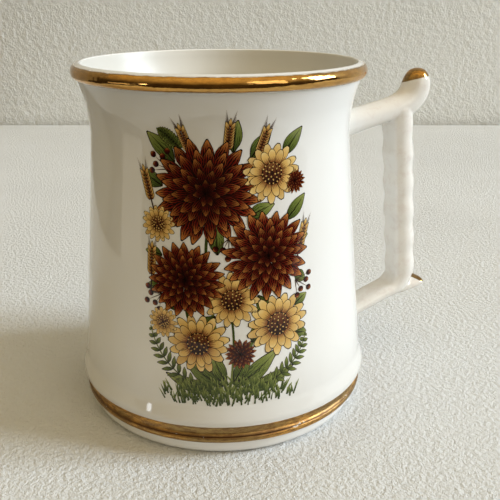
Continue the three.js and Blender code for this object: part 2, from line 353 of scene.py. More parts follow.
# %% The gold as a group, and the gilding
BRIGHT_GOLD, RED_GOLD = (0.84, 0.48, 0.13, 1), (0.56, 0.255, 0.055, 1)
KHAKI, DIRT, BURNT = (0.36, 0.25, 0.10, 1), (0.20, 0.11, 0.05, 1), (0.16, 0.085, 0.04, 1)
WORN_GLAZE = (0.70, 0.65, 0.57, 1)


def make_gold_group():
    takes = {"place": "Place", "value": "Edge Burn Wear Dull Tarnish"}
    gives = {"colour": "Colour", "value": "Gold Roughness Height"}
    tree, given, out = open_group("fired gold", takes, gives)
    place = given["Place"]
    edge = total(given["Edge"], wander(place, 330, 0.22, 3))
    painted = step_up(edge, 0.05, 0.11)
    near_edge = step_up(given["Edge"], 0.0, 0.6, 0.26, 0.0)
    bare = product(total(near_edge, 0.15), given["Wear"])
    worn = maths("SUBTRACT", grain(place, 150, 5, 0.7), bare)
    gold = product(painted, step_up(worn, 0.2, 0.25))

    strokes = grain(flattened(place, 9), 150, 3, 0.6)
    tone = maths("SUBTRACT", product(strokes, 1.6), 0.4, clamp=True)
    bright = blend_colours(tone, BRIGHT_GOLD, RED_GOLD)
    stain_place = flattened(place, 4)
    olive = step_up(grain(stain_place, 38, 2), 0.42, 0.6)
    khaki = blend_colours(product(olive, given["Tarnish"]), bright, KHAKI)
    dirt = step_up(grain(stain_place, 300, 6, 0.85), 0.38, 0.62)
    stained = blend_colours(product(dirt, given["Tarnish"]), khaki, DIRT)
    thin = step_up(maths("DIVIDE", edge, given["Burn"]), 0.3, 1.0, 1.0, 0.0)
    brown = blend_colours(thin, stained, BURNT)

    scuffs = step_up(grain(place, 500, 4, 0.6), 0.3, 0.7, 0.0, 0.1)
    rough = total(total(given["Dull"], scuffs), product(thin, 0.15))
    waves = product(grain(place, 110, 2), 5.0)
    height = total(product(strokes, 0.35), waves)
    colour = blend_colours(gold, WORN_GLAZE, brown)
    feed(out, Colour=colour, Gold=gold, Roughness=rough, Height=height)
    return tree


gold_group = make_gold_group()


def make_gilding(name, burn, wear, dull, tarnish):
    """burn: how far the brown edge reaches in; wear, dull and tarnish grow with use."""
    material, tree, shader, place = open_material(name, IOR=1.5)
    edge = add(tree, "ShaderNodeAttribute", attribute_name="inward").outputs["Fac"]
    gold = use_group(gold_group, {
        "Place": place, "Edge": edge, "Burn": burn, "Wear": wear, "Dull": dull, "Tarnish": tarnish,
    })
    feed(shader, Base_Color=gold["Colour"], Metallic=gold["Gold"])
    feed(shader, Roughness=gold["Roughness"])
    raise_surface(shader, gold["Height"], strength=1.0, depth=0.0001)
    return material


rim_gold = make_gilding("rim_gold", burn=0.16, wear=0.3, dull=0.05, tarnish=0.35)
foot_gold = make_gilding("foot_gold", burn=0.5, wear=0.42, dull=0.3, tarnish=0.9)
handle_gold = make_gilding("handle_gold", burn=0.2, wear=0.2, dull=0.07, tarnish=0.9)

# %% [markdown]
# ## The table, the wall and the light
#
# The tankard stands on a white-painted, slightly stippled table top that ends in front of a
# plain wall. Both are stage, not part of the object. The table is a slab with a rounded back
# edge, and a gap behind it makes the thin dark line. The stipple is a bump, so it catches the
# low light from the side without any real relief. A far floor and three more walls close the
# room for a camera that looks from another side. Only the camera sees them, so they neither
# light the tankard nor show in its glaze.

# %% The table and the wall
def make_paint(name, colour, stipple, depth):
    material, _, shader, place = open_material(name, Roughness=0.65)
    coarse = grain(place, stipple, 4, 0.62)
    fine = product(grain(place, stipple * 3.5), 0.3)
    faded = tuple(channel * 0.94 for channel in colour[:3]) + (1,)
    cloud = step_up(grain(place, 6, 3), 0.3, 0.7)
    feed(shader, Base_Color=blend_colours(cloud, colour, faded))
    raise_surface(shader, total(coarse, fine), 1.0, depth)
    return material


def make_slab(name, low, high, material):
    """A box between two corners, in metres, with every edge rounded; it is stage."""
    bm = bmesh.new()
    bmesh.ops.create_cube(bm, size=1)
    size = [b - a for a, b in zip(low, high)]
    middle = [(a + b) / 2 for a, b in zip(low, high)]
    bmesh.ops.scale(bm, vec=size, verts=bm.verts)
    bmesh.ops.translate(bm, vec=middle, verts=bm.verts)
    rounding = 0.002
    bmesh.ops.bevel(
        bm, geom=bm.edges[:], offset=rounding, affect="EDGES", segments=3, profile=0.5, material=-1,
    )
    bmesh.ops.transform(bm, matrix=to_model, verts=bm.verts)
    slab = put_in_scene(name, close_mesh(bm, name, [material]))
    return slab


table_paint = make_paint("table_paint", (0.82, 0.83, 0.825, 1), stipple=560, depth=0.0018)
wall_paint = make_paint("wall_paint", (0.87, 0.90, 0.915, 1), stipple=170, depth=0.0022)
table_end, wall_front, wall_back = 0.555, 0.562, 0.6
make_slab("table_top", (-0.29, -0.18, -0.04), (1.2, table_end, 0), table_paint)
for name, low, high, paint in (
    ("far_floor", (-3, -3, -0.03), (3, table_end, -0.0005), table_paint),
    ("left_wall", (-3.05, -3, -0.03), (-3, wall_back, 3), wall_paint),
    ("right_wall", (3, -3, -0.03), (3.05, wall_back, 3), wall_paint),
    ("front_wall", (-3.05, -3.05, -0.03), (3.05, -3, 3), wall_paint),
):
    backdrop = make_slab(name, low, high, paint)
    backdrop.visible_diffuse = backdrop.visible_glossy = backdrop.visible_shadow = False
make_slab("plain_wall", (-3, wall_front, -0.3), (3, wall_back, 1.5), wall_paint)
print("the table ends", table_end, "m behind the body's axis")

# %% [markdown]
# The light is a tall window of two panes on the right, eight metres off, so the shadow falls
# to the left with a soft edge and the pot's left side stays in a warm half shade. A weak
# panel in front stands for the bright room. A glossy pot also shows what stands around it,
# so a far window and a pale door on the left are hung as dim lamps that light nothing and
# show only as mirror images in the glaze. The world fills the rest with a warm light from
# above, darker towards the floor and the left. A white surface that faces the window comes
# out about as bright as its paint, and no brighter.

# %% The lamps and the world
def hang_panel(name, direction, elevation, distance, size, power, colour, sideways=0.0):
    """A rectangular lamp aimed at the pot; direction is counted from the right, in degrees."""
    lamp = bpy.data.lights.new(name, "AREA")
    lamp.shape = "RECTANGLE"
    lamp.size, lamp.size_y = size
    lamp.energy = power
    lamp.color = colour
    holder = put_in_scene(name, lamp)
    turn, rise = math.radians(direction), math.radians(elevation)
    away = Vector((math.cos(turn) * math.cos(rise), math.sin(turn) * math.cos(rise), math.sin(rise)))
    side = Vector((-math.sin(turn), math.cos(turn), 0))
    aim = away.to_track_quat("Z", "Y").to_matrix().to_4x4()
    spot = away * distance + side * sideways + Vector((0, 0, 0.06))
    holder.matrix_world = to_model @ Matrix.Translation(spot) @ aim
    print(f"{name}: {power} W at {distance} m")
    return holder


sky_blue, warm_white, cool_white = (0.775, 0.885, 1.0), (1.0, 0.93, 0.82), (0.90, 0.94, 1.0)
for label, sideways in (("window_near_pane", -0.745), ("window_far_pane", 0.745)):
    hang_panel(label, -2, 29, 8.0, (1.3, 4.0), 354.0, sky_blue, sideways)
hang_panel("bright_room", -50, 24, 2.6, (1.2, 1.2), 8.0, warm_white)
far_window = hang_panel("far_window", -143.8, -0.3, 3.0, (0.19, 0.31), 1.7, cool_white)
pale_door = hang_panel("pale_door", -167, -9, 3.0, (1.15, 0.62), 1.8, (1.0, 0.93, 0.8))
far_window.visible_diffuse = pale_door.visible_diffuse = False

world = bpy.data.worlds.new("room_fill")
world.use_nodes = True
bpy.context.scene.world = world
direction = add(world.node_tree, "ShaderNodeTexCoord").outputs["Generated"]
rise = follow("ShaderNodeSeparateXYZ", {"Vector": direction})["Z"]
height_share = step_up(rise, 0.0, 0.8)
floor_glow, ceiling_glow = (0.07, 0.05, 0.026, 1), (0.83, 0.66, 0.37, 1)
room = blend_colours(height_share, floor_glow, ceiling_glow)
left = handle_turn.to_3x3() @ Vector((-1, 0, 0))
leftward = vector_maths("DOT_PRODUCT", direction, left)["Value"]
shade = step_up(leftward, -0.3, 0.9, 0.0, 0.3)
room = blend_colours(shade, room, (0.0, 0.0, 0.0, 1))
feed(world.node_tree.nodes["Background"], Color=room)

bpy.context.scene.view_settings.view_transform = "Standard"

# %% [markdown]
# ## The body
#
# The body is cast in a plaster mould that was itself turned, so its whole form is one outline
# spun about the axis: hollowed underside, foot, bead, cove, wall, rolled lip, inside and
# floor. The outline starts as a chain of corners, given as distance from the axis and height.
# Each corner is then rounded by its own amount, the third number, which is how a turner's
# tool leaves it, and the spin closes the form. A lathe of corners is easier to correct than a
# hundred points. The faces inside the cup take a darker, duller glaze, whose darker colour is
# painted shade.

# %% Turn the body
turned_corners = [
    (0, 3, 0), (38.8, 3, 1.4), (41.8, 1.8, 0.8), (42.8, 0, 0.35),
    (46.6, 0, 0.3), (49.25, 0.75, 2.5), (49.95, 5.6, 0.15), (51.2, 5.6, 1.15),
    (51.2, 7.95, 1.0), (50.3, 7.95, 0.12), (51.4, 8.45, 0.2), (50.6, 8.9, 0.9),
    (50.6, 11.9, 1.1), (52.05, 12.25, 0.25), (52.17, 14.2, 0.8), (50.65, 18.4, 1.2),
    (49.9, 27, 3), (47, 57.6, 12), (44.3, 88, 5), (43.3, 101.6, 5.5),
    (44.8, 108.9, 3), (46.7, 115.05, 0.25), (48.5, 115.3, 1.7), (48.5, 119.2, 1.9),
    (45.3, 120.15, 0.7), (44.2, 115.5, 2), (41.5, 108.4, 3), (39.6, 101.6, 5.5),
    (40.5, 88, 5), (43.2, 57.6, 12), (46.2, 22, 3), (46.2, 7.4, 8.9), (0, 7.4, 0),
]


def round_off(bm, verts, rounding, steps):
    """Each vertex on a chain gives way to an arc."""
    bmesh.ops.bevel(
        bm, geom=verts, offset=rounding, offset_type="OFFSET", affect="VERTICES",
        segments=steps, profile=0.5, material=-1,
    )


def round_corners(bm, corners):
    """A chain of edges through the corners, each rounded with a vertex bevel."""
    chain = [bm.verts.new((out, 0, height)) for out, height, _ in corners]
    for first, second in zip(chain, chain[1:]):
        bm.edges.new((first, second))
    for vertex, (_, _, rounding) in zip(chain, corners):
        if rounding:
            round_off(bm, [vertex], rounding, 6)


def faces_out(face):
    """How far a face looks away from the axis: positive outside, negative inside."""
    centre = face.calc_center_median()
    return centre.x * face.normal.x + centre.y * face.normal.y


def turn_body():
    bm = bmesh.new()
    round_corners(bm, turned_corners)
    bmesh.ops.spin(
        bm, geom=bm.verts[:] + bm.edges[:], cent=(0, 0, 0), axis=(0, 0, 1),
        angle=2 * math.pi, steps=180, use_merge=True, use_duplicate=False,
    )
    bmesh.ops.remove_doubles(bm, verts=bm.verts, dist=1e-4)
    bmesh.ops.recalc_face_normals(bm, faces=bm.faces)
    for face in bm.faces:
        centre = face.calc_center_median()
        in_the_cup = centre.z > 7 and centre.xy.length < 45.2
        # the faces inside the cup take the finish whose darker colour is painted shade
        face.material_index = int(in_the_cup and faces_out(face) < 0.2)
    return bm


turned = turn_body()
clay = round(turned.calc_volume() / 1000, 1)
print("turned body:", len(turned.faces), "faces,", clay, "ml of clay")
wall_tree = BVHTree.FromBMesh(turned)
finishes = [glazed_ware, cup_glaze_painted_shade]
finish_piece(turned.copy(), "glazed_body", finishes, ["tankard_body"])

# %% [markdown]
# ## A way to lay things on the wall
#
# Gold and print follow the pot's own surface, so they are placed with a probe instead of a
# formula: a ray that runs level towards the axis finds the wall at any height and angle. The
# probe gives the radius of the outside, whatever the outline above says.

# %% The probe
def wall_radius(height, angle=0.0):
    """The ray starts 80 mm from the axis, well clear of the wall."""
    away = Vector((math.cos(angle), math.sin(angle), 0))
    hit = wall_tree.ray_cast(away * 80 + Vector((0, 0, height)), -away)
    return Vector((hit[0].x, hit[0].y, 0)).length


print("outside radius at 30, 60 and 102 mm:", [round(wall_radius(h), 2) for h in (30, 60, 102)])

# %% [markdown]
# ## Gold bands on lip and foot
#
# A band is a copy of the body's own faces between two heights, lifted by a few hundredths of a
# millimetre and given a thin edge. Cutting it off the finished body is the sure way to make a
# skin fit every bead and hollow. The attribute "inward" runs from 0 at each edge of the band
# to 1 in its middle, for the gilding's mask. The two bands on the foot meet at a seam, where
# the gold goes on but keeps the brown of its thin edges, which there is painted shade in the
# groove between the bands.

# %% Cut the bands from the body
skin_lift = 0.04


def lift_skin(bm, inward):
    """Lift the faces, grade them, and turn a thin edge in at their border."""
    bm.normal_update()
    for vertex in bm.verts:
        vertex.co += vertex.normal * skin_lift
    layer = bm.verts.layers.float.new("inward")
    for vertex in bm.verts:
        vertex[layer] = inward(vertex)
    rim = [edge for edge in bm.edges if edge.is_boundary]
    edge_ring = bmesh.ops.extrude_edge_only(bm, edges=rim)["geom"]
    # New vertices have no face with any area yet, so their normals point away from the origin
    # and the edge goes towards the middle of the foot: under most of the surface, not all.
    for vertex in only(bmesh.types.BMVert, edge_ring):
        vertex.co -= vertex.normal * skin_lift * 1.4


def drop_faces(bm, wanted):
    bmesh.ops.delete(bm, geom=[f for f in bm.faces if not wanted(f)], context="FACES")


def band(name, node, material, low, high, outside, seam_below=0.0, seam_above=0.0):
    """From low to high, past the radius outside; a seam keeps "inward" above 0 at that edge."""
    bm = turned.copy()

    def wanted(face):
        centre = face.calc_center_median()
        past = centre.xy.length > outside and faces_out(face) > -0.01
        return low < centre.z < high and past

    drop_faces(bm, wanted)
    heights = [vertex.co.z for vertex in bm.verts]
    bottom, top = min(heights), max(heights)

    def inward(vertex):
        from_below = max(vertex.co.z - bottom, seam_below)
        from_above = max(top - vertex.co.z, seam_above)
        return 2 * min(from_below, from_above) / (top - bottom)

    lift_skin(bm, inward)
    finish_piece(bm, name, [material], [node])


# At the seam the gold keeps the brown of a thin edge, which there is painted shade in the groove.
seam = 8.0
band("rim_gold_band", "rim_gilding", rim_gold, 115.1, 119.4, 46.3)
band("foot_gold_band", "foot_gilding_wide", foot_gold, seam, 12.5, 50.0, seam_below=0.35)
band("foot_gold_line", "foot_gilding_line", foot_gold, 5.5, seam, 49.9, seam_above=0.2)

# %% [markdown]
# ## The handle, as a path and a section
#
# The handle is a second casting. Its grip and lower arm follow the edge of the finger gap,
# which is a bent wire: down the grip, round a corner and back along the lower arm to the
# wall. The corner is rounded with the same vertex bevel as the body's outline, and the long
# edges are divided into stations. The section is a D: a flat inner face with small edge
# radii, sides that belly out a little and a round back.

# %% The handle's stations and its D section
handle_corners = [(68.5, 100.2, 0), (75.9, 28.6, 4.0), (48.4, 19.4, 0)]
section_width, section_depth = 9.2, 10.4
grip_top, grip_foot = 96.2, 28.6


def with_headings(places):
    """Each place of a path together with the direction of the path there."""
    befores, afters = places[:1] + places[:-1], places[1:] + places[-1:]
    return [(p, (b - a).normalized()) for p, a, b in zip(places, befores, afters)]


def handle_stations():
    """Places down the wire, each with the direction away from the finger gap."""
    wire = bmesh.new()
    round_corners(wire, handle_corners)
    for edge in [e for e in wire.edges if e.calc_length() > 2.5]:
        cuts = int(edge.calc_length() / 1.9)
        bmesh.ops.subdivide_edges(wire, edges=[edge], cuts=cuts)
    places = sorted((v.co.copy() for v in wire.verts), key=lambda place: -place.z)
    wire.free()
    return [(place, Vector((-along.z, 0, along.x))) for place, along in with_headings(places)]


def add_d_section(bm):
    """The D in the XY plane: X runs across the handle, Y out from its flat inner face."""
    half = section_width / 2
    belly, back = half + 2.0, half - 1.4
    corners = [
        (-half, 0), (half, 0), (belly, 4.6), (back, section_depth), (-back, section_depth),
        (-belly, 4.6),
    ]
    loop = [bm.verts.new((across, out, 0)) for across, out in corners]
    for first, second in zip(loop, loop[1:] + loop[:1]):
        bm.edges.new((first, second))
    inner_edges, back_edges, belly_edges = loop[:2], loop[3:5], loop[2::3]
    round_off(bm, inner_edges, 1.1, 3)
    round_off(bm, back_edges, 3.0, 6)
    round_off(bm, belly_edges, 2.2, 4)
    return bm.verts[:] + bm.edges[:]


stations = handle_stations()
print("the wire has", len(stations), "stations from the grip's top to the lower root")

# %% [markdown]
# ## The handle, lofted
#
# A copy of the section is set up at every station and each is bridged to the next, which is
# the same as lofting. Thickness follows the direction that the path faces, so the strap
# swells a little in its corner, tapers along the lower arm and flares where it meets the
# wall, and soft finger ripples run down the grip. The upper arm, which ends in the thumb
# rest, and the spur are limbs of their own: rings along a bent line, each with its own half
# thickness and half width.

# %% Loft the strap and the two limbs
grip_thickness, lost_below, corner_swell = 10.2, 4.2, 0.6
grip_facing, arm_facing = 84.2, 161.5
ripple_length, ripple_height, ripple_shift = 11.6, 0.62, 4.46
flare_size, flare_start, flare_length = 1.5, 50.5, 4.5


def strap_thickness(place, facing):
    """facing: degrees from straight up to the direction away from the finger gap."""
    share = min(1.0, max(0.0, facing - grip_facing) / (arm_facing - grip_facing))
    swell = corner_swell * math.sin(math.pi * share)
    thinned = max(0.0, 60 - place.x) / 15
    return grip_thickness - lost_below * share + swell - thinned


def ripple(place):
    """Extra thickness of the grip at a place; it fades out at both ends of the grip."""
    from_middle = place.z - (grip_top + grip_foot) / 2
    away = abs(from_middle) / ((grip_top - grip_foot) / 2)
    if place.x < 68.9 or away > 0.97:
        return 0.0
    phase = 2 * math.pi * (from_middle + ripple_shift) / ripple_length
    return ripple_height * min(1.0, 4 * (1 - away)) * math.cos(phase)


def set_ring(bm, geom, place, out, wide, thick):
    """A copy of a ring, set up across the path; wide and thick are scales."""
    copy = bmesh.ops.duplicate(bm, geom=geom)["geom"]
    across = Vector((0, 1, 0))
    turn = Matrix((across * wide, out * thick, across.cross(out))).transposed().to_4x4()
    verts = only(bmesh.types.BMVert, copy)
    bmesh.ops.transform(bm, matrix=Matrix.Translation(place) @ turn, verts=verts)
    return only(bmesh.types.BMEdge, copy)


def loft(bm, pattern, rings):
    """Bridge the rings in order, drop the pattern, and close both ends."""
    for first, second in zip(rings, rings[1:]):
        bmesh.ops.bridge_loops(bm, edges=first + second)
    bmesh.ops.delete(bm, geom=only(bmesh.types.BMVert, pattern))
    bmesh.ops.holes_fill(bm, edges=bm.edges, sides=0)
    bmesh.ops.recalc_face_normals(bm, faces=bm.faces)


def loft_strap():
    bm = bmesh.new()
    pattern = add_d_section(bm)
    rings = []
    for place, out in stations:
        facing = math.degrees(math.atan2(out.x, out.z))
        from_wall = max(place.x - flare_start, 0) / flare_length
        flare = flare_size * max(0.0, 1 - from_wall) ** 2
        wave = ripple(place)
        thickness = strap_thickness(place, facing) + wave + 2 * flare
        seat = place - out * (wave / 2 + flare)
        wide = (section_width + 2 * flare + 0.9 * wave) / section_width
        rings.append(set_ring(bm, pattern, seat, out, wide, thickness / section_depth))
    loft(bm, pattern, rings)
    return bm


def loft_limb(keys):
    """Keys are (distance, height, half thickness, half width)."""
    bm = bmesh.new()
    pattern = bmesh.ops.create_circle(bm, segments=20, radius=1)["verts"] + bm.edges[:]
    path = with_headings([Vector((out, 0, height)) for out, height, _, _ in keys])
    rings = []
    for (place, along), (_, _, thick, wide) in zip(path, keys):
        rings.append(set_ring(bm, pattern, place, Vector((along.z, 0, -along.x)), wide, thick))
    loft(bm, pattern, rings)
    return bm


upper_arm_keys = [
    (41.0, 93.2, 6.6, 7.2), (45.5, 94.2, 5.6, 6.2), (50, 95.2, 4.9, 5.7), (58, 96.9, 4.5, 5.6),
    (66, 98.5, 4.4, 5.6), (72, 99.6, 4.7, 5.7), (77.2, 101.3, 5.6, 5.8), (80.3, 104.8, 6.0, 5.8),
    (81.1, 108.6, 5.6, 5.6), (80.9, 111.7, 4.4, 4.8), (80.5, 114.0, 1.9, 2.6),
]
spur_keys = [
    (74.0, 23.9, 2.5, 4.9), (80.0, 25.1, 2.7, 5.4), (85.5, 25.7, 2.4, 5.5),
    (88.8, 26.2, 2.0, 5.2), (90.2, 26.5, 1.0, 4.2),
]
strap = loft_strap()
upper_arm = loft_limb(upper_arm_keys)
spur = loft_limb(spur_keys)
print("lofted:", len(strap.faces), "+", len(upper_arm.faces), "+", len(spur.faces), "faces")

# %% [markdown]
# ## One casting, luted to the wall
#
# On the real tankard nothing shows where the limbs or the slip begin, because the mould's
# corners are round, the slip is wiped with a wet brush and the glaze runs over all of it. So
# the lofts are joined with two patches of the wall itself, remeshed into one skin of small
# voxels and smoothed. That turns every inner corner into a fillet. The patches lie a hair
# under the body's surface, so all that shows of them is the fillet of slip.

# %% Join and soften the handle
def wall_patch(low, high, half_angle):
    """A block cut from the outside of the wall, sunk just under its surface."""
    bm = turned.copy()

    def wanted(face):
        centre = face.calc_center_median()
        angle = math.degrees(math.atan2(centre.y, centre.x))
        return low < centre.z < high and abs(angle) < half_angle and faces_out(face) > 0

    drop_faces(bm, wanted)
    bm.normal_update()
    sunk, deep = 0.07, 2.2
    for vertex in bm.verts:
        vertex.co -= vertex.normal * sunk
    bmesh.ops.solidify(bm, geom=bm.faces[:], thickness=deep)
    bmesh.ops.recalc_face_normals(bm, faces=bm.faces)
    return bm


def join(meshes):
    """Several shells in one mesh."""
    whole = bmesh.new()
    for bm in meshes:
        passing = close_mesh(bm, "passing")
        whole.from_mesh(passing)
        bpy.data.meshes.remove(passing)
    return whole


def soften(bm, voxel, rounds):
    """Subdivide, remesh to one skin of voxels, smooth, and hand back the mesh."""
    casting = put_in_scene("casting", close_mesh(bm, "casting"))
    smooth = casting.modifiers.new("round", "SUBSURF")
    smooth.levels = smooth.render_levels = 2
    remesh = casting.modifiers.new("one_skin", "REMESH")
    remesh.mode = "VOXEL"
    remesh.voxel_size = voxel
    soft = casting.modifiers.new("soften", "SMOOTH")
    soft.factor = 0.5
    soft.iterations = rounds
    result = bmesh.new()
    result.from_object(casting, bpy.context.evaluated_depsgraph_get())
    bpy.data.objects.remove(casting)
    return result


patches = [wall_patch(84, 107, 17), wall_patch(9.5, 27, 16)]
cast = soften(join([strap, upper_arm, spur, *patches]), voxel=0.36, rounds=12)
tips = [round(max(v.co[axis] for v in cast.verts), 2) for axis in (0, 2)]
print("the handle reaches", tips[0], "mm out and", tips[1], "mm up")
clay_nodes = ["handle", "upper_slip_joint", "lower_slip_joint"]
finish_piece(cast.copy(), "cast_handle", [handle_glaze_painted_shade], clay_nodes)

# %% [markdown]
# ## Gold on the thumb rest and the spur
#
# Both are brushed on by hand up to a clean line. The skin is cut from the handle's own mesh
# with a plane, which gives that line, and lifted like the bands. Its attribute grows with the
# distance from the plane, up to 1.6 mm in.

# %% Cut the two caps from the handle
def gold_cap(name, node, point, normal, keep):
    """The part of the handle past the plane, among the vertices that keep says."""
    bm = cast.copy()
    bmesh.ops.delete(bm, geom=[v for v in bm.verts if not keep(v)], context="VERTS")
    bmesh.ops.bisect_plane(
        bm, geom=bm.verts[:] + bm.edges[:] + bm.faces[:], plane_co=point, plane_no=normal,
        clear_inner=True,
    )

    def inward(vertex):
        return min(1.0, (vertex.co - point).dot(normal.normalized()) / 1.6)

    lift_skin(bm, inward)
    finish_piece(bm, name, [handle_gold], [node])


gold_cap(
    "thumb_rest_gold", "thumb_rest_gilding", Vector((80.5, 0, 109.6)), Vector((-0.15, 0.25, 1)),
    lambda v: v.co.x > 74 and v.co.z > 104,
)
gold_cap(
    "spur_gold", "spur_gilding", Vector((87.4, 0, 27.0)), Vector((0.5, 0, 1)),
    lambda v: v.co.x > 84 and 20 < v.co.z < 31 and v.normal.z > 0.3,
)

# %% [markdown]
# ## The printed spray: enamels
#
# The panel on the wall is a transfer: flat enamels printed on paper, slid onto the glaze and
# fired until they sink into it. Such a print is a drawing, with a dark line round every shape,
# fine hatching that runs with the form, and only a few colours. Each petal carries its own UV
# map, across and along, so one group can hatch every kind of shape in its own direction.

# %% The enamels as a group, and the five colours
def make_enamel_group():
    takes = {"place": "Place Map", "value": "Tone Lines Shade", "colour": "Light Middle Dark"}
    tree, given, out = open_group("hatched enamel", takes, {"colour": "Colour"})
    mapped = follow("ShaderNodeSeparateXYZ", {"Vector": given["Map"]})
    across, along = mapped["X"], mapped["Y"]
    shaky = total(across, wander(given["Place"], 700, 0.26))
    stripe = maths("PINGPONG", product(shaky, given["Lines"]), 0.5)
    breaks = wander(given["Place"], 1100, 0.9)
    depth = total(maths("SUBTRACT", given["Shade"], along), breaks)
    line = maths("GREATER_THAN", product(depth, 0.5), stripe)
    fade = total(along, product(breaks, 0.35))
    under = blend_colours(step_up(fade, 0.0, 0.6), given["Dark"], given["Middle"])
    body = blend_colours(step_up(fade, 0.55, 1.1), under, given["Light"])
    toned = blend_colours(given["Tone"], body, given["Dark"])
    feed(out, Colour=blend_colours(line, toned, given["Dark"]))
    return tree


enamel_group = make_enamel_group()


def make_enamel(name, lines, shade, light, middle, dark):
    """lines: strokes across a petal; shade: how far up they reach; colours from tip to root."""
    faint = {"IOR": GLAZE_IOR, "Specular_IOR_Level": 0.3}
    material, tree, shader, place = open_material(name, **faint)
    uv = add(tree, "ShaderNodeUVMap", uv_map="petal_map").outputs[0]
    tone = add(tree, "ShaderNodeAttribute", attribute_name="tone").outputs["Fac"]
    enamel = use_group(enamel_group, {
        "Place": place, "Map": uv, "Tone": tone, "Lines": lines, "Shade": shade,
        "Light": light + (1,), "Middle": middle + (1,), "Dark": dark + (1,),
    })
    glaze = lay_glaze(shader, place, white_clay)
    feed(shader, Base_Color=enamel["Colour"], Roughness=glaze["Roughness"])
    return material


ENAMELS = [make_enamel(name, lines, shade, *colours) for name, lines, shade, *colours in (
    ("ink_line", 3.0, 0.2, (0.018, 0.007, 0.005), (0.012, 0.005, 0.004), (0.008, 0.003, 0.002)),
    ("maroon_enamel", 5.0, 1.05, (0.72, 0.29, 0.07), (0.15, 0.011, 0.005), (0.013, 0.002, 0.0015)),
    ("straw_enamel", 4.0, 0.5, (0.86, 0.67, 0.30), (0.72, 0.46, 0.14), (0.17, 0.045, 0.014)),
    ("leaf_enamel", 7.0, 0.75, (0.36, 0.39, 0.12), (0.17, 0.21, 0.045), (0.035, 0.055, 0.012)),
    ("seed_enamel", 4.0, 0.9, (0.33, 0.13, 0.04), (0.12, 0.035, 0.014), (0.025, 0.01, 0.007)),
)]
INK, MAROON, STRAW, GREEN, SEED = range(5)
print("enamels:", [enamel.name for enamel in ENAMELS])

# %% [markdown]
# ## The printed spray: shapes
#
# Every shape of the drawing starts as one small grid, drawn in by rows to a petal, a leaf or a
# blade. Insetting it leaves a rim of faces all round, and that rim takes the ink. The shapes
# are stamped side by side in flat millimetres, X across the panel and Y up the wall, each in
# its own thin layer, so that the flower in front covers the one behind.

# %% Petals, leaves and stamps
def draw_shape(bm, outline, columns, colour, line):
    """A flat shape from the origin up along Y; outline gives its width at each row."""
    cells = bmesh.ops.create_grid(
        bm, x_segments=columns, y_segments=len(outline) - 1, size=0.5, calc_uvs=True,
    )["verts"]
    bmesh.ops.translate(bm, vec=(0, 0.5, 0), verts=cells)
    rows = len(outline) - 1
    for number, share in enumerate(outline):
        row = [v for v in cells if round(v.co.y * rows) == number]
        bmesh.ops.scale(bm, vec=(share, 1, 1), verts=row)
    faces = list({face for v in cells for face in v.link_faces})
    for face in faces:
        face.material_index = colour
    if line:
        rim = bmesh.ops.inset_region(
            bm, faces=faces, thickness=line, use_boundary=True, use_even_offset=True,
            use_interpolate=True,
        )["faces"]
        for face in rim:
            face.material_index = INK
        faces = faces + rim
    verts = list({v for face in faces for v in face.verts})
    return verts + list({e for face in faces for e in face.edges}) + faces


def heading_of(turn):
    """The direction in the flat drawing, turn degrees clockwise from upright."""
    return Vector((math.sin(math.radians(turn)), math.cos(math.radians(turn))))


def stamp(bm, shape, at, turn, size, lift, tone=0.0, bend=0.0):
    """A copy of a shape; turn as in heading_of, bend is the tip's shift as a share of width."""
    copy = bmesh.ops.duplicate(bm, geom=shape)["geom"]
    verts = only(bmesh.types.BMVert, copy)
    tones = bm.verts.layers.float["tone"]
    reach = max(v.co.y for v in verts)
    for v in verts:
        v.co.x += bend * (v.co.y / reach) ** 2
        v[tones] = tone
    matrix = (
        Matrix.Translation((at[0], at[1], lift)) @ Matrix.Rotation(math.radians(-turn), 4, "Z")
        @ Matrix.Diagonal((size[0], size[1], 1, 1))
    )
    bmesh.ops.transform(bm, matrix=matrix, verts=verts)


def open_sheet():
    """An empty drawing, with the two things that each shape carries for its enamel."""
    bm = bmesh.new()
    bm.loops.layers.uv.new("petal_map")
    bm.verts.layers.float.new("tone")
    return bm


panel_angle = math.radians(-110.5)


def fire_on(bm, patterns, name):
    """Drop the patterns, wrap the drawing round the wall and make it a piece."""
    for shape in patterns:
        bmesh.ops.delete(bm, geom=only(bmesh.types.BMVert, shape))
    for v in bm.verts:
        angle = panel_angle + v.co.x / wall_radius(v.co.y, panel_angle)
        radius = wall_radius(v.co.y, angle) + v.co.z
        v.co = Vector((radius * math.cos(angle), radius * math.sin(angle), v.co.y))
    finish_piece(bm, name, ENAMELS, ["printed_panel"])


# %% [markdown]
# ## The big blooms
#
# A dahlia-like bloom is rings of pointed petals, each ring shorter and a little higher, and
# each started at an angle of its own. Petals that just touch at their widest leave pale gaps
# between their tips, which is what makes the edge of the flower lively. The inner rings are
# darker, so the bloom seems to sink towards its middle. Small chance shifts in angle, length
# and tone, from a fixed seed, keep it from looking stamped.

# %% Maroon blooms
chance = random.Random(7)
petal_outline = [0.34, 0.52, 0.76, 0.95, 1.0, 0.84, 0.52, 0.14]


def bloom(bm, petal, at, radius, lift, rings, deepen=0.0):
    """Rings are (petals, inner share, outer share) of the radius; deepen darkens the middle."""
    for number, (count, inner, outer) in enumerate(rings):
        start = chance.uniform(0, 360)
        middle = radius * (inner + (outer - inner) * 0.55)
        width = 2 * math.pi * middle / count
        for k in range(count):
            turn = start + 360 * (k + chance.uniform(-0.12, 0.12)) / count
            seat = Vector(at) + heading_of(turn) * radius * inner
            reach = radius * (outer - inner) * chance.uniform(0.92, 1.04)
            stamp(
                bm, petal, seat, turn, (width, reach), lift + 0.012 * number,
                chance.uniform(0, 0.28) + deepen * (1 - outer), chance.uniform(-0.12, 0.12),
            )


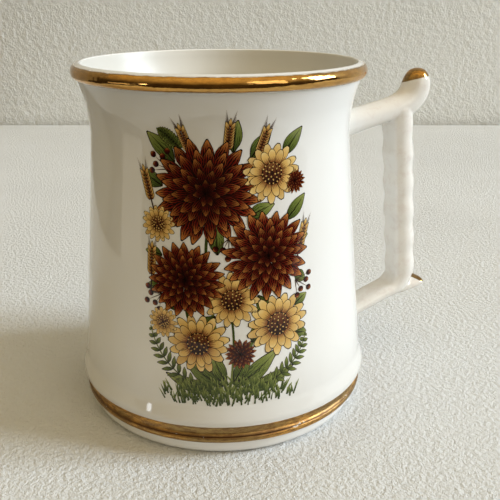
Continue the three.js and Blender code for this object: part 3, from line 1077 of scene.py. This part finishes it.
dahlia_rings = [
    (19, 0.40, 1.0), (17, 0.30, 0.83), (14, 0.20, 0.64), (11, 0.10, 0.45), (7, 0.0, 0.26),
]
sheet = open_sheet()
maroon_petal = draw_shape(sheet, petal_outline, 3, MAROON, 0.045)
for at, radius, lift in (
    ((-6.0, 86.5), 16.2, 0.10), ((12.2, 67.0), 14.2, 0.16), ((-13.0, 60.0), 12.2, 0.16),
    ((21.0, 88.5), 4.6, 0.10), ((3.5, 36.5), 6.0, 0.10),
):
    rings = dahlia_rings if radius > 8 else dahlia_rings[1:]
    bloom(sheet, maroon_petal, at, radius, lift, rings, 0.75)
fire_on(sheet, [maroon_petal], "maroon_blooms")

# %% [markdown]
# ## The straw-coloured flowers
#
# These are simple daisies: two rings of blunt petals round a brown seed head. The head is a
# ring of small seeds over a dark disc, and the disc is the same kind of shape as a petal, drawn
# in to a circle.

# %% Straw flowers and their seed heads
blunt_outline = [0.42, 0.68, 0.88, 0.98, 1.0, 0.93, 0.74, 0.34]
disc_outline = [0.30, 0.72, 0.93, 1.0, 0.93, 0.72, 0.30]
sheet = open_sheet()
straw_petal = draw_shape(sheet, blunt_outline, 3, STRAW, 0.05)
seed_disc = draw_shape(sheet, disc_outline, 6, SEED, 0.05)
seed_grain = draw_shape(sheet, disc_outline, 2, STRAW, 0.14)
for at, radius in (
    ((13.5, 91.5), 9.0), ((1.0, 54.0), 8.8), ((15.5, 45.0), 10.2), ((-9.5, 40.0), 9.8),
    ((-21.0, 76.5), 5.6), ((-20.5, 46.0), 5.0),
):
    bloom(sheet, straw_petal, at, radius, 0.10, [(15, 0.34, 1.0), (13, 0.30, 0.80)])
    size = radius * 0.72
    stamp(sheet, seed_disc, (at[0], at[1] - size / 2), 0, (size, size), 0.135, 0.3)
    for ring, share in ((15, 0.78), (9, 0.45), (4, 0.16)):
        for k in range(ring):
            angle = 2 * math.pi * (k + chance.random() * 0.4) / ring
            seat = Vector(at) + Vector((math.sin(angle), math.cos(angle))) * size / 2 * share
            stamp(
                sheet, seed_grain, seat, math.degrees(angle), (0.62, 0.85), 0.15,
                chance.uniform(0.0, 0.5),
            )
fire_on(sheet, [straw_petal, seed_disc, seed_grain], "straw_flowers")

# %% [markdown]
# ## Leaves, stems and fern fronds
#
# Leaves fill the gaps and show at the edge of the spray. A leaf is one broad shape with a thin
# inked rib stamped over it. A stem is a long narrow strip whose rows are laid along a bezier
# curve, from the flower down to the ground, and a frond is a stem with pairs of small leaves.

# %% Leaves and stems
leaf_outline = [0.12, 0.48, 0.80, 0.97, 1.0, 0.90, 0.70, 0.42, 0.10]
blade_outline = [1.0, 0.96, 0.9, 0.8, 0.66, 0.46, 0.14]


def lay_strip(bm, shape, knots, width, lift, tone):
    """A strip of 24 rows along a bezier curve, given as start, two pulls and end."""
    line = geometry.interpolate_bezier(*(Vector((*point, 0)) for point in knots), 25)
    copy = bmesh.ops.duplicate(bm, geom=shape)["geom"]
    tones = bm.verts.layers.float["tone"]
    for v in only(bmesh.types.BMVert, copy):
        step = min(int(v.co.y * 24), 23)
        share = v.co.y * 24 - step
        along = line[step + 1] - line[step]
        side = Vector((along.y, -along.x, 0)).normalized()
        v.co = line[step] + along * share + side * v.co.x * width + Vector((0, 0, lift))
        v[tones] = tone
    return line


def leaf(bm, at, turn, length, width, bend):
    """A broad leaf with its rib; bend is in millimetres, so it is divided by each width."""
    tone = chance.uniform(0.0, 0.45)
    stamp(bm, broad_leaf, at, turn, (width, length), 0.045, tone, bend / width)
    rib_width = 0.34
    stamp(bm, rib, at, turn, (rib_width, length * 0.9), 0.06, 0.4, bend * 0.8 / rib_width)


def frond(bm, line, length, width):
    """Pairs of small leaves along the line, longest in its middle."""
    for k in range(3, 24, 2):
        place, along = line[k].xy, (line[min(k + 1, 24)] - line[k - 1]).xy
        heading = math.degrees(math.atan2(along.x, along.y))
        size = length * math.sin(math.pi * min(1, (k + 3) / 27)) ** 0.7
        for side in (-1, 1):
            stamp(
                bm, small_leaf, place, heading + side * 52, (width, size), 0.05,
                chance.uniform(0.0, 0.5), 0.1 * side,
            )


sheet = open_sheet()
broad_leaf = draw_shape(sheet, leaf_outline, 4, GREEN, 0.035)
small_leaf = draw_shape(sheet, leaf_outline[::2], 2, GREEN, 0.08)
rib = draw_shape(sheet, blade_outline, 1, INK, 0)
stalk = draw_shape(sheet, [1.0] * 25, 1, GREEN, 0)
for *knots, width in (
    ((-6, 74), (-8, 60), (-3, 42), (-1, 24), 0.9), ((12, 57), (13, 46), (4, 38), (1, 24), 0.9),
    ((-13, 51), (-12, 42), (-5, 34), (-2, 24), 0.8), ((15.5, 38), (15, 32), (7, 29), (3, 23), 0.8),
    ((-9.5, 33), (-9, 29), (-6, 26), (-4, 22), 0.8), ((1, 47), (2, 40), (1, 32), (0, 23), 0.7),
):
    lay_strip(sheet, stalk, knots, width, 0.04, 0.35)
for at, turn, length, width, bend in (
    ((-15, 95), -38, 12, 5.2, -1.5), ((-19, 88), -66, 8, 4.6, 1.0), ((2, 98), 4, 9.5, 4.4, 0.8),
    ((7, 96), 32, 10, 4.4, 1.0), ((17, 96), 32, 10.5, 4.6, 1.0), ((18, 77), 48, 10, 4.4, -0.8),
    ((6, 79), 62, 9, 4.6, 0.8), ((22, 71), 76, 4.2, 3.4, 0.5), ((21, 60), 112, 5, 4.0, 0.8),
    ((-3, 68), -6, 9, 4.6, 1.0), ((-20, 67), -74, 5.8, 3.8, -0.6), ((-21, 57), -98, 4.8, 3.8, 0.6),
    ((-4, 49), -134, 8, 4.4, 1.2), ((9, 55), 154, 9, 4.6, -1.2), ((21, 50), 52, 5.6, 3.8, 0.6),
    ((21.5, 41), 108, 4.4, 3.6, -0.6), ((7, 40), 24, 8, 4.2, 1.0), ((-16, 50), -30, 7, 4.2, -0.8),
    ((-2, 26), -62, 15, 5.6, 2.6), ((2, 26), 60, 17, 5.8, -2.8), ((-4, 24), -80, 17, 4.8, 2.4),
    ((4, 24), 78, 18, 4.8, -2.6), ((-1, 27), -30, 11, 4.6, 1.4), ((1, 27), 34, 12, 4.6, -1.6),
):
    leaf(sheet, at, turn, length, width, bend)
for *knots, length in (
    ((-6, 24), (-16, 28), (-23, 34), (-25, 44), 4.2), ((6, 24), (17, 27), (24, 32), (25.5, 40), 4.0),
    ((-12, 98), (-15, 101), (-17, 103), (-20, 104.5), 2.6),
):
    frond(sheet, lay_strip(sheet, stalk, knots, 0.45, 0.045, 0.4), length, 1.5)
fire_on(sheet, [broad_leaf, small_leaf, rib, stalk], "leaves_and_stems")

# %% [markdown]
# ## Ears of corn, berries and grass
#
# Ears of corn stand out of the top and the sides of the spray: pairs of grains up a stalk,
# each with a long beard. Berries sit in small clusters. The spray grows out of a tuft of
# grass, which is some three hundred short blades in a mound, darker at their roots.

# %% Corn, berries and grass
def ear(bm, at, turn, length):
    heading = heading_of(turn)
    side = Vector((heading.y, -heading.x))
    stamp(bm, beard, Vector(at) - heading * 5, turn, (0.5, length + 5), 0.06, 0.4)
    for k in range(8):
        place = Vector(at) + heading * length * k / 8
        for hand in (-1, 1):
            seat = place + side * hand * 0.35
            stamp(bm, beard, seat + heading * 1.2, turn + hand * 15, (0.16, 4.6), 0.07, 0.5)
            lift, tone = 0.08 + 0.004 * k, chance.uniform(0, 0.2)
            stamp(bm, grain_shape, seat, turn + hand * 24, (1.15, 2.6), lift, tone)
    stamp(bm, grain_shape, Vector(at) + heading * length, turn, (1.1, 2.6), 0.12)


def grass(bm, count):
    for _ in range(count):
        x = chance.triangular(-22.5, 22.5, chance.choice((-9, 0, 9)))
        mound = math.sqrt(max(0.0, 1 - (x / 23.5) ** 2))
        base = 20.2 - 1.1 * mound + chance.random() * 7.5 * mound
        stamp(
            bm, blade, (x, base), chance.gauss(x * 0.9, 16),
            (chance.uniform(0.45, 0.8), chance.uniform(2.2, 4.6)), chance.uniform(0.03, 0.08),
            chance.uniform(0.0, 0.55), chance.uniform(-0.7, 0.7),
        )


sheet = open_sheet()
grain_shape = draw_shape(sheet, petal_outline[1:], 2, STRAW, 0.09)
beard = draw_shape(sheet, blade_outline[::2], 1, SEED, 0)
blade = draw_shape(sheet, blade_outline[::2], 1, GREEN, 0)
berry = draw_shape(sheet, disc_outline, 3, MAROON, 0.07)
for at, turn, length in (
    ((0.5, 99.0), 6, 6.5), ((-10.5, 98.5), -22, 6.0), ((9.5, 97.5), 20, 6.5), ((22.5, 66), 16, 8.5),
    ((-23.0, 83.5), -14, 8.0), ((-24.0, 60.5), 4, 8.0),
):
    ear(sheet, at, turn, length)
clusters = (((0.5, 73.0), 184), ((-20.5, 55.0), -118), ((21.5, 58.0), 124), ((-17, 93), -50))
for root, heading in clusters:
    for k, reach in enumerate((4.6, 3.4, 5.4, 3.2, 4.4)):
        turn = heading + (k - 2) * 24
        stamp(sheet, beard, root, turn, (0.3, reach), 0.085, 0.5)
        seat = Vector(root) + heading_of(turn) * (reach - 0.2)
        stamp(sheet, berry, seat, turn, (1.9, 1.9), 0.09 + 0.008 * k, 0.1)
grass(sheet, 320)
fire_on(sheet, [grain_shape, beard, blade, berry], "corn_berries_and_grass")
